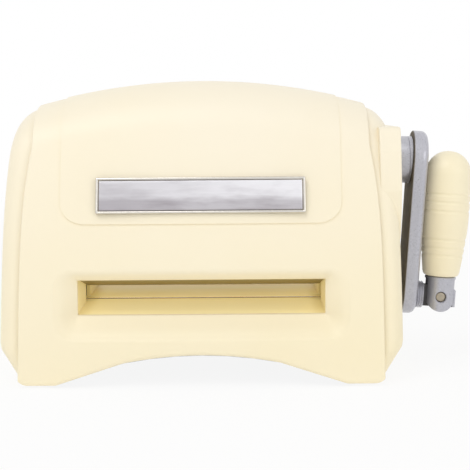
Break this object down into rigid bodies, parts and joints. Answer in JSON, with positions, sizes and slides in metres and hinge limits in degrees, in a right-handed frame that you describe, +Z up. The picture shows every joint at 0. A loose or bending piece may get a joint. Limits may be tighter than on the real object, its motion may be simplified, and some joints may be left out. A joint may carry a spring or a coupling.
{
  "type": "die cutting machine",
  "caption": "Hand cranked die cutting machine: arched housing on a steel frame, geared rollers behind a wide feed slot, and a side crank whose handle folds flat.",
  "frame": {"origin": "middle of the overall box, at the level the feet stand on", "axes": "+X to the crank side, +Y from the front, where the nameplate is, to the rear, +Z up"},
  "size_m": [0.3074, 0.167, 0.19],
  "materials": {
    "housing_plastic": "satin cream ABS",
    "grip_plastic": "satin cream ABS",
    "feed_plastic": "satin cream plastic",
    "silver_paint": "silver paint on a casting",
    "bright_steel": "ground steel",
    "frame_steel": "zinc plated sheet steel",
    "bronze": "sintered bronze",
    "gear_plastic": "white acetal",
    "chrome_trim": "bright chrome",
    "plate_face": "smooth polished face, no lettering",
    "rubber": "matt black"
  },
  "bodies": {
    "housing": {"base_pan": "frame_steel", "crank_shaft_inner_bush": "bronze", "crank_shaft_outer_bush": "bronze", "foot_front_left": "rubber", "foot_front_right": "rubber", "foot_rear_left": "rubber", "foot_rear_right": "rubber", "front_feed_deck": "feed_plastic", "front_feed_guide": "feed_plastic", "front_shell": "housing_plastic", "left_frame_plate": "frame_steel", "left_side_cover": "housing_plastic", "lower_roller_left_bush": "bronze", "lower_roller_right_bush": "bronze", "nameplate_frame": "chrome_trim", "nameplate_insert": "plate_face", "rear_feed_deck": "feed_plastic", "rear_feed_guide": "feed_plastic", "rear_shell": "housing_plastic", "right_frame_plate": "frame_steel", "right_side_cover": "housing_plastic", "tie_rod_front_high": "bright_steel", "tie_rod_front_low": "bright_steel", "tie_rod_rear_high": "bright_steel", "tie_rod_rear_low": "bright_steel", "tie_rod_screw_front_high_left": "bright_steel", "tie_rod_screw_front_high_right": "bright_steel", "tie_rod_screw_front_low_left": "bright_steel", "tie_rod_screw_front_low_right": "bright_steel", "tie_rod_screw_rear_high_left": "bright_steel", "tie_rod_screw_rear_high_right": "bright_steel", "tie_rod_screw_rear_low_left": "bright_steel", "tie_rod_screw_rear_low_right": "bright_steel", "top_cover": "housing_plastic", "upper_roller_left_bush": "bronze", "upper_roller_right_bush": "bronze"},
    "crank": {"crank_shaft": "bright_steel", "crank_shaft_clip": "bright_steel", "crank_pinion": "gear_plastic", "crank_hub": "silver_paint", "crank_arm": "silver_paint", "crank_screw": "bright_steel", "handle_knuckle": "silver_paint", "fold_pin": "bright_steel"},
    "folding_handle": {"handle_fork": "silver_paint", "grip_spindle": "bright_steel"},
    "grip": {"grip": "grip_plastic"},
    "upper_roller_set": {"upper_roller": "bright_steel", "upper_roller_left_clip": "bright_steel", "upper_roller_right_clip": "bright_steel", "drive_gear": "gear_plastic", "upper_roller_gear": "gear_plastic"},
    "lower_roller_set": {"lower_roller": "bright_steel", "lower_roller_left_clip": "bright_steel", "lower_roller_gear": "gear_plastic"}
  },
  "joints": [
    {"name": "crank_turn", "type": "hinge", "parent": "housing", "child": "crank", "pos_m": [-0.02681, 0, 0.1366], "axis": [1, 0, 0], "continuous": true},
    {"name": "upper_roller_turn", "type": "hinge", "parent": "housing", "child": "upper_roller_set", "pos_m": [-0.02681, 0, 0.0656], "axis": [1, 0, 0], "continuous": true},
    {"name": "lower_roller_turn", "type": "hinge", "parent": "housing", "child": "lower_roller_set", "pos_m": [-0.02681, 0, 0.0326], "axis": [1, 0, 0], "continuous": true},
    {"name": "handle_fold", "type": "hinge", "parent": "crank", "child": "folding_handle", "pos_m": [0.13271, 0, 0.04427], "axis": [0, 1, 0], "range_deg": [0, 90]},
    {"name": "grip_spin", "type": "hinge", "parent": "folding_handle", "child": "grip", "pos_m": [0.13291, 0, 0.04426], "axis": [0.0663, 0, 0.9978], "continuous": true}
  ],
  "couplings": [
    {"joint": "upper_roller_turn", "follows": "crank_turn", "ratio": -0.29091},
    {"joint": "lower_roller_turn", "follows": "crank_turn", "ratio": 0.29091}
  ]
}
